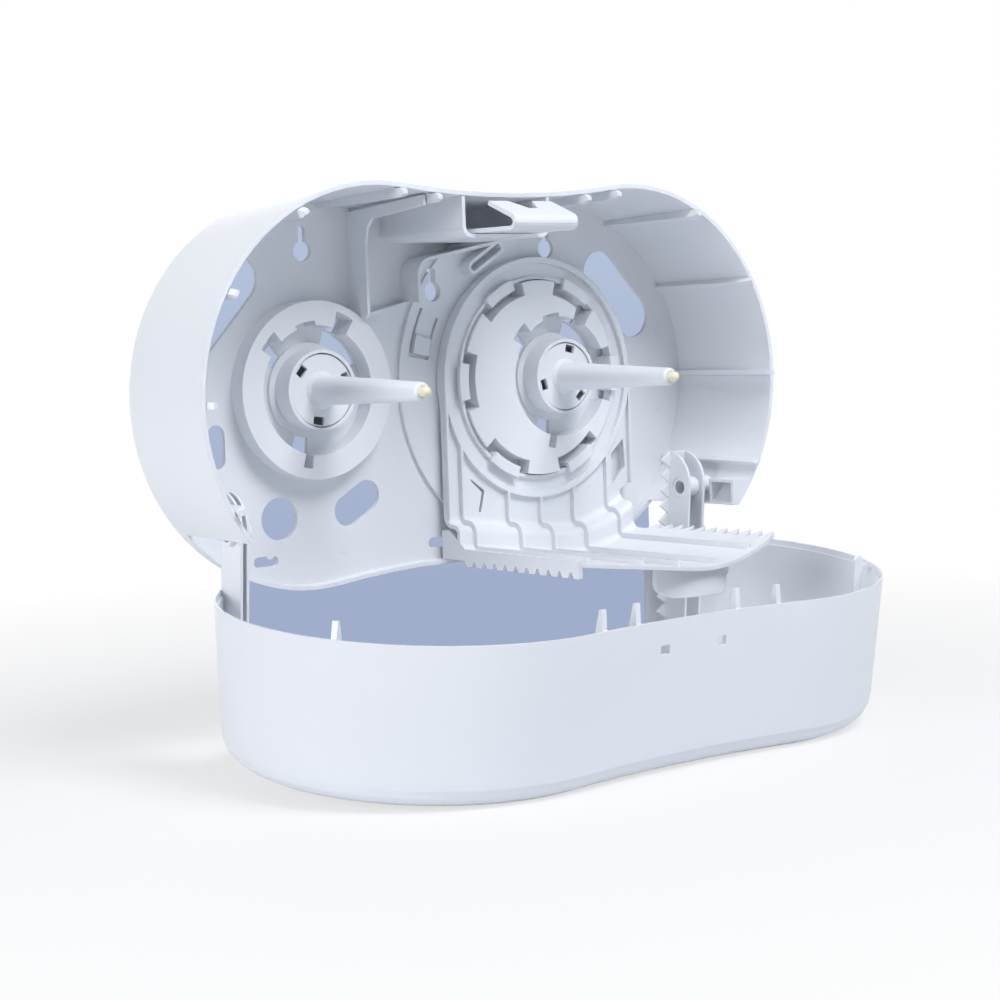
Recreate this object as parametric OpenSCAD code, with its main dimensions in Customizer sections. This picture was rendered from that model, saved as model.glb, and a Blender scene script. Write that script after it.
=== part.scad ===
// Twin jumbo toilet roll dispenser, standing open: a peanut-shaped wall housing with two roll
// spindles, a swing plate that carries the tear tray, a spring latch, and a deep front cover
// that drops forward on two hinge stubs.
// X runs to the right seen from the front, Y points into the wall, Z is up. The origin is on the
// wall face, midway between the two spindles and at their height. Depths are measured from the
// wall towards the front.

/* [Housing] */
// Distance between the two roll spindles
spindle_gap = 160; // [157:0.5:163]
// How far each lobe centre lies outside its spindle
lobe_shift = 1.5; // [1:0.1:2]
// How far the lobe centres lie below the spindles
lobe_drop = 2; // [1:0.5:3]
// Outside radius of a lobe at the rim
lobe_r = 102.4; // [101:0.2:106]
// Outside radius of the shallow waist
waist_r = 515; // [450:5:600]
// Depth of the housing from the wall to its rim
rim_d = 72.4; // [70:0.2:76]
// Wall thickness of both shells
wall = 2.2; // [1.8:0.1:2.6]
// Thickness of the back plate
plate_t = 2.5; // [2:0.1:3]
// Draft of both shells in degrees
draft_deg = 3; // [2:0.25:3.5]
// Depth of the lip along the open bottom of the housing
lip_d = 8; // [6:0.5:10]
// Height below the spindles at which the left end of the rim stops
left_end_drop = 66.5; // [64:0.5:67]
// Height below the spindles at which the right end of the rim stops
right_end_drop = 73.7; // [72:0.1:75]
// Width of the ribs that end in guide fingers
rib_w = 3; // [2:0.1:3.5]
// Height of those ribs above the wall, at the rim
rib_h = 5; // [4:0.1:5.5]
// How far a housing finger stands past the rim
finger_out = 4.5; // [3:0.1:6]

/* [Fixing holes] */
// Diameter of a keyhole's round end
keyhole_dia = 10.5; // [9:0.1:12]
// Width of a keyhole's neck
keyhole_neck = 4.2; // [3.5:0.1:5]
// Length of a keyhole's neck above its round end's centre
keyhole_rise = 12.5; // [10:0.1:14]
// Height of the outer keyholes above the spindles
keyhole_z = 70; // [68:0.5:72]
// Height of the middle keyhole above the spindles
mid_keyhole_z = 48; // [46:0.5:50]
// Length of a bottom fixing slot
slot_len = 14.4; // [12:0.1:16]
// Width of a bottom fixing slot
slot_w = 5.3; // [4.5:0.1:6]
// Distance of a bottom slot from the middle
slot_x = 108.8; // [107:0.1:110]
// Distance of a bottom slot below the spindles
slot_drop = 84.6; // [83:0.1:86]

/* [Hubs and spindles] */
// Outside radius of the left hub
hub_r = 45; // [43:0.5:47]
// Depth of the hub faces from the wall
hub_d = 12.9; // [12:0.1:14]
// Skin thickness of hubs and platforms
skin = 2.2; // [1.8:0.1:2.6]
// Radius of the opening in a hub
well_r = 32.6; // [31:0.1:34]
// Outside radius of a collar's flange
flange_r = 24; // [23:0.1:25]
// Thickness of a collar's flange
flange_t = 1.8; // [1.5:0.1:2.2]
// Outside radius of a collar's tube
collar_r = 20.5; // [20.3:0.1:21.5]
// Depth of a collar's mouth from the wall
collar_d = 16.6; // [16:0.1:18]
// Radius of a spindle's foot disc
foot_r = 18.2; // [17:0.1:18.4]
// Radius of a spindle sleeve next to its foot
sleeve_r = 7.6; // [7:0.1:8.5]
// Radius of a spindle sleeve at its tip
tip_r = 4.6; // [4.2:0.1:5]
// Depth of a sleeve's tip from the wall
sleeve_d = 100; // [96:0.5:103]
// Radius of the axle pin inside a sleeve
axle_r = 2.6; // [2.3:0.1:2.9]
// Depth of an axle pin's tip from the wall
axle_d = 105; // [102:0.5:108]

/* [Swing plate] */
// Distance of the swing pivot inside the right spindle
pivot_in = 14.5; // [14:0.1:15]
// Radius of the fixed disc inside the swing ring
disc_r = 52.7; // [52:0.1:53]
// Outside radius of the swing ring
ring_r = 65.2; // [63:0.1:67]
// Depth of the swing ring's front edge
ring_d = 11.6; // [11.2:0.1:12]
// Depth of the swing plate's flat face
panel_d = 9; // [8.6:0.1:9.4]
// Thickness of the swing plate and its tray
panel_t = 2.2; // [1.8:0.1:2.4]
// Distance of the plate's left edge from the middle of the housing
panel_left = 0.4; // [0:0.1:1]
// Width of the swing plate
panel_w = 131.2; // [130:0.2:132]
// Radius of the tray about the right spindle
tray_r = 96.8; // [95:0.1:98]
// Depth of the tray's left front corner
tray_left_d = 115.5; // [112:0.5:118]
// Depth of the tray's right front corner
tray_right_d = 124.8; // [120:0.2:126]
// Pitch of every row of tear teeth
tooth_pitch = 8.6; // [8:0.1:9.2]
// Depth of a tear tooth
tooth_h = 5.4; // [4.5:0.1:6]
// Width of the plate's stiffening ribs
panel_rib_w = 1.6; // [1.2:0.1:2]

/* [Latch] */
// Place of the latch's middle, left of the housing's middle
latch_left = 3.1; // [2:0.1:4]
// Width of the latch box outside
latch_box_w = 56; // [54:0.5:58]
// Height of the latch box floor above the spindles
latch_floor_z = 73; // [72:0.1:74]
// Width of the spring latch
latch_w = 40; // [38:0.5:42]
// Thickness of the spring latch
latch_t = 2.2; // [1.8:0.1:2.4]
// Depth of the latch's front bend from the wall
latch_bend_d = 99; // [96:0.5:101]
// Inside radius of the front bend
latch_bend_r = 2; // [1.5:0.1:2.5]

/* [Cover] */
// Depth of the cover from its rim to its face
cover_d = 78; // [76:0.5:82]
// Radius round the edge of the cover's face
face_edge_r = 14; // [10:0.5:16]
// Crown of the cover's face
face_crown = 3; // [1:0.5:5]
// Angle by which the cover stands open, in degrees
open_deg = 95; // [90:0.5:95]
// Depth of the hinge axis from the wall
hinge_d = 44.5; // [44:0.1:45]
// Distance of the hinge axis below the spindles
hinge_drop = 64; // [63.5:0.1:64.5]
// Outside radius of a hinge stub
stub_r = 5.4; // [4.5:0.1:5.6]
// Bore radius of a hinge stub
stub_bore_r = 3.7; // [3:0.1:4]
// Depth of the hinge arms
arm_d = 17; // [16:0.1:18]
// Thickness of the hinge arms' webs
web_t = 1.5; // [1.3:0.1:1.8]
// Width of a key hole in the cover
key_w = 5.6; // [5:0.1:6]

/* [Fits] */
// Running clearance of a hinge or spindle, on the radius
run_gap = 0.06; // [0.05:0.01:0.09]
// Clearance between parts that move past each other
move_gap = 0.5; // [0.4:0.05:0.6]
// Gap between the two rims when the cover is shut
seam = 0.4; // [0.3:0.05:0.6]

/* [Hidden] */
$fn = 96;
over = 1;
lobe_points = 44;
waist_points = 8;
white = [0.93, 0.94, 0.97];
pale = [0.86, 0.88, 0.92];
cream = [0.93, 0.90, 0.78];

spindle_x = spindle_gap / 2;
lobe_x = spindle_x + lobe_shift;
arc_sum = lobe_r + waist_r;
waist_z = sqrt(arc_sum * arc_sum - lobe_x * lobe_x);
tangent_deg = atan2(waist_z, lobe_x);
draft = tan(draft_deg);
reach = lobe_x + lobe_r + over;
pivot_x = spindle_x - pivot_in;
cover_rim_d = rim_d + seam;
face_d = cover_rim_d + cover_d;

function at(r, a) = [r * cos(a), r * sin(a)];
function arc(c, r, a0, a1, n) = [for (i = [0 : n - 1]) c + at(r, a0 + (a1 - a0) * i / n)];

// Points round the peanut outline whose lobes have radius r
function peanut(r) = concat(
    arc([lobe_x, 0], r, tangent_deg - 180, 180 - tangent_deg, lobe_points),
    arc([0, waist_z], arc_sum - r, -tangent_deg, tangent_deg - 180, waist_points),
    arc([-lobe_x, 0], r, tangent_deg, 360 - tangent_deg, lobe_points),
    arc([0, -waist_z], arc_sum - r, 180 - tangent_deg, tangent_deg, waist_points));

// Solid through a list of [lobe radius, depth] rings, closed at both ends
module loft(rings) {
    n = len(peanut(lobe_r));
    last = len(rings) - 1;
    points = [for (ring = rings) for (p = peanut(ring[0])) [p[0], -ring[1], p[1] - lobe_drop]];
    ends = [[for (i = [0 : n - 1]) i], [for (i = [n - 1 : -1 : 0]) last * n + i]];
    sides = [for (k = [0 : last - 1]) for (i = [0 : n - 1])
        [k * n + i, (k + 1) * n + i, (k + 1) * n + (i + 1) % n, k * n + (i + 1) % n]];
    polyhedron(points, concat(ends, sides), convexity = 8);
}

// Extrudes a front-view outline from depth d0 to depth d1
module layer(d0, d1) {
    translate([0, -d0, 0]) rotate([90, 0, 0]) linear_extrude(d1 - d0) children();
}

// Extrudes a side-view outline, drawn as [depth, height], from x0 to x1
module slab(x0, x1) {
    translate([x1, 0, 0]) rotate([0, 0, -90]) rotate([90, 0, 0]) linear_extrude(x1 - x0) children();
}

// Extrudes a plan outline, drawn as [x, depth], from height z0 to height z1
module storey(z0, z1) {
    translate([0, 0, z1]) rotate([180, 0, 0]) linear_extrude(z1 - z0) children();
}

// Peanut outline with true arcs
module outline(r) {
    tangent = at(r, tangent_deg);
    tx = lobe_x - tangent[0];
    translate([0, -lobe_drop]) difference() {
        union() {
            for (s = [-1, 1]) translate([s * lobe_x, 0]) circle(r);
            polygon([[tx, tangent[1]], [-tx, tangent[1]], [-tx, -tangent[1]], [tx, -tangent[1]]]);
        }
        for (s = [-1, 1]) translate([0, s * waist_z]) circle(arc_sum - r, $fn = 360);
    }
}

module sector(r0, r1, a0, a1) {
    mid = (a0 + a1) / 2;
    far = 2 * r1;
    intersection() {
        difference() {
            circle(r1);
            circle(r0);
        }
        polygon([[0, 0], at(far, a0), at(far, mid), at(far, a1)]);
    }
}

module obround(length, width) {
    straight = length - width;
    square([straight, width], center = true);
    for (s = [-1, 1]) translate([s * straight / 2, 0]) circle(width / 2);
}

module box(x0, x1, z0, z1) {
    translate([x0, z0]) square([x1 - x0, z1 - z0]);
}

// Revolves an outline, drawn as [radius, depth], about a line into the wall at height zero
module spun(x, from = 0, span = 360) {
    translate([x, 0, 0]) rotate([90, 0, 0]) rotate([0, 0, from]) rotate_extrude(angle = span) children();
}

// Rib of width w whose outline is drawn as [depth, height above the place]
module standing_rib(x, z, a, r, w) {
    translate([x, 0, z]) rotate([0, -a, 0]) translate([r, 0, 0])
        rotate([0, 0, -90]) translate([0, 0, -w / 2]) linear_extrude(w) children();
}

module ring(r0, r1) {
    difference() {
        circle(r1);
        circle(r0);
    }
}

// Rectangle with all corners rounded
module soft_box(x0, x1, z0, z1, r) {
    box(x0 + r, x1 - r, z0, z1);
    box(x0, x1, z0 + r, z1 - r);
    for (x = [x0 + r, x1 - r]) for (z = [z0 + r, z1 - r]) translate([x, z]) circle(r);
}

// Height of the outline of lobe radius r in the waist, at x
function waist_edge(x, r) = waist_z - sqrt(pow(arc_sum - r, 2) - x * x) - lobe_drop;

// Rear housing

rear_r = lobe_r - rim_d * draft;
floor_r = rear_r - wall + plate_t * draft;
wall_lean = rim_d * draft;

module housing_shell() {
    difference() {
        loft([[rear_r, 0], [lobe_r, rim_d], [lobe_r - wall, rim_d], [floor_r, plate_t]]);
        layer(lip_d, rim_d + over) {
            box(-reach, over, -reach, -left_end_drop);
            box(0, reach, -reach, -right_end_drop);
        }
    }
}

// Places of the guide fingers: angles about a lobe, and shares of the spindle's distance
finger_angles = [-30, 0, 31, 63];
waist_finger_shares = [0.86, 0.6];

module finger_outline(out) {
    polygon([[plate_t / 2, -wall / 2 - wall_lean], [plate_t / 2, -wall - wall_lean - rib_h / 2],
        [rim_d, -wall - rib_h], [rim_d + out / 2, -wall - rib_h * 0.9],
        [rim_d + out, -wall - rib_h * 0.7], [rim_d + out, -wall - rib_h * 0.35],
        [rim_d + out / 2, -wall - move_gap], [rim_d - out / 2, -wall - move_gap],
        [rim_d - out, -wall / 2]]);
}

module guide_fingers() {
    for (side = [0, 1]) mirror([side, 0, 0]) {
        for (a = finger_angles) standing_rib(lobe_x, -lobe_drop, a, lobe_r, rib_w)
            finger_outline(finger_out);
        for (share = waist_finger_shares)
            standing_rib(share * spindle_x, waist_edge(share * spindle_x, lobe_r), 90, 0, rib_w)
                finger_outline(finger_out);
    }
}

// Hollow pocket at the right end of the rim, open to the left
pocket_left = 150.2;
pocket_back_d = 54;
pocket_top = -60;
pocket_t = 1.6;

module rim_pocket() {
    intersection() {
        difference() {
            slab(pocket_left, reach) box(pocket_back_d, rim_d, -right_end_drop, pocket_top);
            slab(pocket_left - over, reach) box(pocket_back_d + pocket_t, rim_d - pocket_t,
                pocket_t - right_end_drop, pocket_top - pocket_t);
        }
        layer(0, rim_d) outline(lobe_r - wall_lean / 2);
    }
}

// Hinge stubs

right_stub_end = 136.5;
left_stub_end = -146;
stub_root = 157;

module stub(x0, x1) {
    translate([x0, -hinge_d, -hinge_drop]) rotate([0, 90, 0]) difference() {
        cylinder(x1 - x0, r = stub_r);
        translate([0, 0, -over]) cylinder(x1 - x0 + 2 * over, r = stub_bore_r);
    }
}

// Left hub and the fixed disc of the swing plate

hook_d = 13.4;
hook_t = 2.2;
hook_leg = 50.4;
hook_reach = 56.4;
notch_r = 45.6;
notch_half_deg = 17.5;
notch_skin_deg = 20.3;
hook_half_deg = 10.5;
notch_degs = [for (i = [0 : 5]) i * 60];
disc_rim_r = disc_r + hub_r;

// Bayonet cut-outs round a hub's well: share of its radius, first and last angle; and the windows
// behind it: inner and outer share of its radius, first and last angle
well_cut_shares = [[1.26, 57, 72], [1.21, -106, -98], [1.2, 130, 147], [1.07, 91, 111]];
well_window_shares = [[0.7, 0.985, 22, 70], [1, 1.24, 58.5, 70.5], [0.7, 0.985, -111, -93],
    [0.7, 0.985, 132, 150]];
well_skin_deg = 3;

module well_outline(extra, extra_deg) {
    circle(well_r + extra);
    for (c = well_cut_shares) sector(well_r - over, well_r * c[0] + extra, c[1] - extra_deg, c[2] + extra_deg);
}

module disc_outline(inset, notch_deg) {
    translate([pivot_x, 0]) difference() {
        circle(disc_r - inset);
        for (a = notch_degs) sector(notch_r - inset, disc_rim_r, a - notch_deg, a + notch_deg);
    }
}

module hub_faces() {
    translate([-spindle_x, 0]) circle(hub_r);
    disc_outline(0, notch_half_deg);
}

// Space behind the hub faces, open to the wall
module hub_hollows() {
    difference() {
        union() {
            translate([-spindle_x, 0]) circle(hub_r - skin);
            disc_outline(skin, notch_skin_deg);
        }
        for (s = [-1, 1]) translate([s * spindle_x, 0]) well_outline(skin, well_skin_deg);
    }
}

module hubs() {
    difference() {
        layer(0, hub_d) hub_faces();
        layer(plate_t, hub_d + over) for (s = [-1, 1]) translate([s * spindle_x, 0]) well_outline(0, 0);
    }
}

module hooks() {
    for (a = notch_degs) translate([pivot_x, 0, 0]) {
        layer(0, hook_d) sector(hook_leg, hook_leg + hook_t, a - hook_half_deg, a + hook_half_deg);
        layer(hook_d - hook_t, hook_d)
            sector(hook_leg, hook_reach, a - hook_half_deg, a + hook_half_deg);
    }
}

// Platform that the swing plate slides over, with its detent finger

platform_r = 89.3;
platform_d = 4.4;
detent_r0 = 72.5;
detent_r1 = 82.5;
detent_slit = 1.5;
detent_deg = [151.6, 168.5];
detent_pad_d = 6.2;

module platform() {
    translate([pivot_x, 0, 0]) {
        difference() {
            layer(0, platform_d) sector(hook_reach + over, platform_r, 96, 258);
            layer(-over, platform_d + over) sector(detent_r0 - detent_slit, detent_r1 + detent_slit,
                detent_deg[0], detent_deg[1] + detent_slit);
        }
        layer(plate_t - panel_t, platform_d)
            sector(detent_r0, detent_r1, detent_deg[0] - detent_slit, detent_deg[1]);
        layer(plate_t, detent_pad_d)
            sector(detent_r0, detent_r1, detent_deg[1] - 7, detent_deg[1]);
    }
}

// Walls round the middle keyhole and beside the latch

bay_d = 18;
bay_t = 1.8;
bay_left = -52;
bay_foot = 35;
bay_step = -18.6;
bay_step_z = 42.6;
bay_turn_z = 56;
bay_turn_r = 9;
bay_end = 63.4;
bay_end_z = 78.3;
lug_len = 27;
lug_w = 7.5;
lug_d = 12;
lug_deg = 31;
lug_r = 74;
lug_at_deg = 118;

module wall_run(a, b) {
    run = b - a;
    translate(a) rotate(atan2(run[1], run[0])) translate([0, -bay_t / 2]) square([norm(run), bay_t]);
}

module bay_walls() {
    corner = [bay_step + bay_turn_r, bay_turn_z];
    bay_lean = 102;
    layer(0, bay_d) {
        wall_run([bay_step, bay_step_z], [bay_step, bay_turn_z]);
        translate(corner) sector(bay_turn_r - bay_t / 2, bay_turn_r + bay_t / 2, bay_lean, 180);
        wall_run(corner + at(bay_turn_r, bay_lean), [bay_end, bay_end_z]);
    }
    layer(0, lip_d) wall_run([bay_left, bay_foot], [bay_step, bay_step_z]);
    slab(bay_left, bay_left + bay_t) polygon([[0, bay_foot], [bay_d - 2, bay_foot], [bay_d, bay_foot + 2],
        [bay_d, lobe_r * 0.72], [bay_d + 2, lobe_r * 0.79], [bay_d + 6, lobe_r * 0.83],
        [rim_d - finger_out, lobe_r * 0.87], [rim_d - finger_out, lobe_r * 0.92], [0, lobe_r * 0.87]]);
}

module lug() {
    layer(0, lug_d) translate([pivot_x, 0]) translate(at(lug_r, lug_at_deg)) rotate(lug_deg) difference() {
        obround(lug_len, lug_w);
        obround(lug_len - 2 * bay_t, lug_w - 2 * bay_t);
    }
}

// Latch box

latch_x = -latch_left;
latch_box_x = [latch_x - latch_box_w / 2, latch_x + latch_box_w / 2];
latch_wall = 2;
latch_corner_r = 6;
latch_box_d = 72;
latch_side_z = latch_floor_z + 9;

module latch_box() {
    layer(0, latch_box_d) difference() {
        soft_box(latch_box_x[0], latch_box_x[1], latch_floor_z, latch_side_z + latch_corner_r,
            latch_corner_r);
        soft_box(latch_box_x[0] + latch_wall, latch_box_x[1] - latch_wall,
            latch_floor_z + latch_wall, latch_side_z + latch_corner_r + latch_corner_r,
            latch_corner_r - latch_wall);
        box(latch_box_x[0] - over, latch_box_x[1] + over, latch_side_z, lobe_r);
    }
    for (i = [0, 1]) {
        x = latch_box_x[i];
        top = waist_edge(x, lobe_r - wall / 2);
        slab(x - i * latch_wall, x + (1 - i) * latch_wall)
            polygon([[0, latch_side_z], [latch_box_d, latch_side_z], [latch_box_d, top],
                [0, top - wall_lean]]);
    }
}

module keyhole() {
    circle(keyhole_dia / 2);
    translate([-keyhole_neck / 2, 0]) square([keyhole_neck, keyhole_rise - keyhole_neck / 2]);
    translate([0, keyhole_rise - keyhole_neck / 2]) circle(keyhole_neck / 2);
}

// Round and long windows of the back plate: shares of the lobe radius and angles about a lobe
window_r = 10.7;
window_share = 0.63;
window_deg = -73.5;
slant_window_deg = -117;
slant_window = [30, 16];
top_window = [58, 24];
top_window_share = 0.66;
top_window_deg = 43;
edge_window = [22, 10];
edge_window_share = 0.57;

module plate_holes() {
    for (s = [-1, 1]) {
        translate([s * spindle_x, keyhole_z]) keyhole();
        translate([s * slot_x, -slot_drop]) obround(slot_len, slot_w);
    }
    translate([0, mid_keyhole_z]) keyhole();
    translate([0, -slot_drop]) obround(slot_len, slot_w);
    for (side = [0, 1]) mirror([side, 0]) translate([lobe_x, -lobe_drop]) {
        translate(at(lobe_r * window_share, window_deg)) circle(window_r);
        translate(at(lobe_r * top_window_share, top_window_deg)) rotate(top_window_deg - 90)
            obround(top_window[0], top_window[1]);
    }
    translate([-lobe_x, -lobe_drop]) {
        translate(at(lobe_r * window_share, 180 - slant_window_deg)) rotate(30)
            obround(slant_window[0], slant_window[1]);
        translate(at(lobe_r * edge_window_share, 204)) rotate(90)
            obround(edge_window[0], edge_window[1]);
    }
    for (s = [-1, 1]) translate([s * spindle_x, 0])
        for (w = well_window_shares) sector(well_r * w[0], well_r * w[1], w[2], w[3]);
    translate([pivot_x, 0]) for (a = notch_degs)
        sector(hook_leg + hook_t + move_gap, hook_reach, a - hook_half_deg, a + hook_half_deg);
    box(latch_x - latch_w / 2, latch_x + latch_w / 2, latch_floor_z + 2 * latch_wall,
        latch_floor_z + latch_box_w / 4);
}

axle_boss_r = 7;
axle_boss_d = 10;

module rear_housing() {
    color(white) difference() {
        union() {
            housing_shell();
            guide_fingers();
            rim_pocket();
            stub(right_stub_end, stub_root);
            stub(-stub_root, left_stub_end);
            hubs();
            platform();
            bay_walls();
            lug();
            latch_box();
            for (s = [-1, 1]) translate([s * spindle_x, 0, 0]) layer(0, axle_boss_d) circle(axle_boss_r);
        }
        layer(-over, hub_d - skin) hub_hollows();
        layer(-over, platform_d + over) plate_holes();
        for (s = [-1, 1]) translate([s * spindle_x, 0, 0]) layer(-over, axle_boss_d + over) circle(axle_r);
    }
    color(white) hooks();
}

// Swing plate with its tear tray

plate_back_d = platform_d + 0.3;
lip_r0 = disc_r + move_gap;
lip_r1 = lip_r0 + 1.8;
lip_front_d = hook_d - hook_t - 0.3;
band_r = ring_r - 3.2;
band_t = 2;
step_r = 79;
step_d = 20;
step_turn_r = 4.5;
tray_proud = 0.1;
panel_tuck = 0.3;
tray_rib_share = 0.9;
skirt_out = 0.2;
lap = 1;
panel_right = panel_left + panel_w;
tray_right = 123.6;
rib_rise = 2.8;
slope_deg = 6.6;
lean_deg = 270 - slope_deg;
tray_deg = 60;
bulge = 9;
skirt_drop = 9;
skirt_tooth_h = 3;
grip_left = 57;
grip_w = 51;
grip_front_d = 122;
grip_r = 33;
grip_h = 14.5;
grip_corner_r = 7;
grip_tab_w = 9;
grip_tab_h = 9;
panel_rib_x = [10.4, 41.5, 64.1, 87.9, 112.5];
rib_end_gap = 5;

function full_arc(c, r, a0, a1, n) = concat(arc(c, r, a0, a1, n), [c + at(r, a1)]);
function reverse(list) = [for (i = [len(list) - 1 : -1 : 0]) list[i]];
// Height of the straight left part of the tray, at x
function tray_z(x) = (tray_r - (x - spindle_x) * cos(lean_deg)) / sin(lean_deg);

// Line of a surface that stands rise in front of the plate's face, from the panel over the step
// to the tray, as [radius about the right spindle, depth]
function step_line(rise) = concat(
    [[step_r - lap, panel_d + (rise - panel_t) / 4]],
    full_arc([step_r, panel_d + step_turn_r + tray_proud], step_turn_r - rise, -90, 0, 6),
    full_arc([step_r + 2 * step_turn_r, step_d - step_turn_r], step_turn_r + rise, 180, 90, 6),
    full_arc([tray_r - step_turn_r, step_d + step_turn_r], step_turn_r - rise, -90, 0, 6),
    [[tray_r - rise, tray_right_d + bulge]]);

// Step and tray swept round the right spindle, then straight on to the left
module tray_sweep(rise) {
    section = concat(step_line(rise), reverse(step_line(-panel_t)));
    spun(spindle_x, lean_deg, tray_deg) polygon(section);
    translate([spindle_x, 0, 0]) rotate([0, slope_deg, 0]) slab(-spindle_gap, 0)
        rotate(-90) polygon(section);
}

// Plan of the tray: a bulging front edge and a row of tear teeth on the right
module tray_plan(inset) {
    count = floor((tray_right_d - step_d - 2 * step_turn_r) / tooth_pitch);
    front = [for (i = [1 : 11]) let (k = i / 12) [panel_left + inset + (tray_right - panel_left) * k,
        tray_left_d - inset + (tray_right_d - tray_left_d) * k + bulge * sin(180 * k) / 2]];
    teeth = [for (i = [0 : count - 1]) for (p = [[tooth_h, 0.15], [0, 1]])
        [tray_right + p[0] * (inset > 0 ? 0 : 1), tray_right_d - (i + p[1]) * tooth_pitch]];
    difference() {
        polygon(concat([[panel_left + inset, 0], [panel_left + inset, tray_left_d - inset]], front,
            [[tray_right, tray_right_d - inset]], teeth, [[tray_right, 0]]));
        box(tray_right - inset, panel_right, -over, tray_right_d * (inset > 0 ? 1 : 0));
    }
}

module panel_outline(grow) {
    low = step_r + panel_tuck + grow;
    difference() {
        union() {
            box(panel_left, panel_right, -lobe_r, 0);
            translate([pivot_x, 0]) circle(ring_r);
        }
        translate([pivot_x, 0]) circle(lip_r0);
        translate([spindle_x, 0]) {
            rotate(-slope_deg) box(-spindle_gap, over, -lobe_r * 2, -low);
            sector(low - tray_proud / 2, lobe_r * 2, lean_deg, lean_deg + 96);
        }
    }
}

// Windows of the plate, in shares of its width and of the tray radius
right_window_shares = [[0.896, -0.465], [0.966, -0.384], [0.973, -0.549], [0.897, -0.648]];
slit_shares = [[0.127, -0.536], [0.142, -0.55], [0.2, -0.608], [0.178, -0.726], [0.166, -0.722],
    [0.186, -0.616], [0.134, -0.552]];

module plate_window(shares) {
    polygon([for (s = shares) [panel_left + s[0] * panel_w, s[1] * tray_r]]);
}

module left_skirt() {
    top = tray_z(panel_left) + lap;
    low = top - skirt_drop;
    count = floor((tray_left_d - step_d) / tooth_pitch);
    teeth = [for (i = [0 : count - 1]) for (p = [[0, 0], [0.5, 0], [0.7, 1], [0.8, 1]])
        [tray_left_d - (i + p[0]) * tooth_pitch, low + p[1] * skirt_tooth_h]];
    back = plate_back_d + skirt_out;
    slab(panel_left - skirt_out, panel_left - skirt_out + panel_t)
        polygon(concat([[tray_left_d, top]], teeth, [[back, low + skirt_tooth_h],
            [back, lap - step_r], [ring_d - skirt_out, lap - step_r], [step_d + step_turn_r, top]]));
}

// Height of the middle of the tray's thickness, at x
function tray_mid(x) = -sqrt(pow(tray_r + panel_t / 2, 2) - pow(x - spindle_x, 2));

// Finger pull under the front of the tray: a skirt that bulges forward, with a short tab
module grip() {
    right = grip_left + grip_w;
    tab = right - grip_tab_w;
    low = tray_mid(spindle_x) - grip_h;
    steps = 8;
    top = [for (i = [0 : steps]) let (x = grip_left + grip_w * i / steps) [x, tray_mid(x)]];
    intersection() {
        storey(low - over, 0) translate([grip_left + grip_w / 2, grip_front_d - grip_r])
            ring(grip_r - panel_t, grip_r);
        layer(grip_front_d - grip_r, grip_front_d + over) polygon(concat(top,
            [[right, tray_mid(right) - grip_tab_h], [tab, tray_mid(right) - grip_tab_h - over]],
            full_arc([tab - grip_corner_r, low + grip_corner_r], grip_corner_r, 0, -90, 6),
            full_arc([grip_left + grip_corner_r, low + grip_corner_r], grip_corner_r, 270, 180, 6)));
    }
}

module swing_plate() {
    edge_x = [panel_left + panel_rib_w / 2 + skirt_out, panel_right - panel_rib_w / 2 - skirt_out];
    color(white) {
        layer(panel_d - panel_t, panel_d) difference() {
            panel_outline(0);
            plate_window(right_window_shares);
            plate_window(slit_shares);
        }
        translate([pivot_x, 0, 0]) {
            layer(plate_back_d, lip_front_d) ring(lip_r0, lip_r1);
            layer(plate_back_d, ring_d) ring(ring_r - band_t, ring_r);
            layer(panel_d - lap, ring_d) ring(band_r, ring_r);
        }
        layer(panel_d - lap, ring_d) intersection() {
            difference() {
                panel_outline(panel_tuck);
                translate([pivot_x, 0]) circle(band_r);
            }
            union() {
                for (x = concat(panel_rib_x, edge_x))
                    box(x - panel_rib_w / 2, x + panel_rib_w / 2, -lobe_r, 0);
            }
        }
        intersection() {
            tray_sweep(0);
            storey(-lobe_r * 2, 0) tray_plan(0);
        }
        intersection() {
            tray_sweep(rib_rise);
            storey(-lobe_r * 2, 0) tray_plan(rib_end_gap);
            union() {
                for (x = panel_rib_x)
                    slab(x - panel_rib_w * tray_rib_share / 2, x + panel_rib_w * tray_rib_share / 2)
                        box(0, lobe_r * 2, -lobe_r * 2, 0);
            }
        }
        left_skirt();
        grip();
    }
}

// Spring latch: a leaf in the box that folds back into a two-pronged tongue

latch_under = latch_floor_z + latch_wall + 0.3;
latch_root_d = 3;
bend_outer = latch_bend_r + latch_t;
bend_z = latch_under + bend_outer;
tongue_deg = 158;
tongue_len = 19;
notch_w = 9;
notch_deep = 13;
bend_steps = 8;
split_deg = -16;
split_gap_deg = 4;

// Side view of a bent strip: its bend from a0 to a1 about the bend's centre
function bend(a0, a1) = concat(full_arc([0, 0], bend_outer, a0, a1, bend_steps),
    reverse(full_arc([0, 0], latch_bend_r, a0, a1, bend_steps)));

module latch_base() {
    x0 = latch_x - latch_w / 2;
    root = [latch_root_d - latch_bend_d, 0];
    color(pale) slab(x0, x0 + latch_w) translate([latch_bend_d, bend_z])
        polygon(concat([root - [0, latch_bend_r], root - [0, bend_outer]], bend(-90, split_deg - split_gap_deg)));
}

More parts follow.
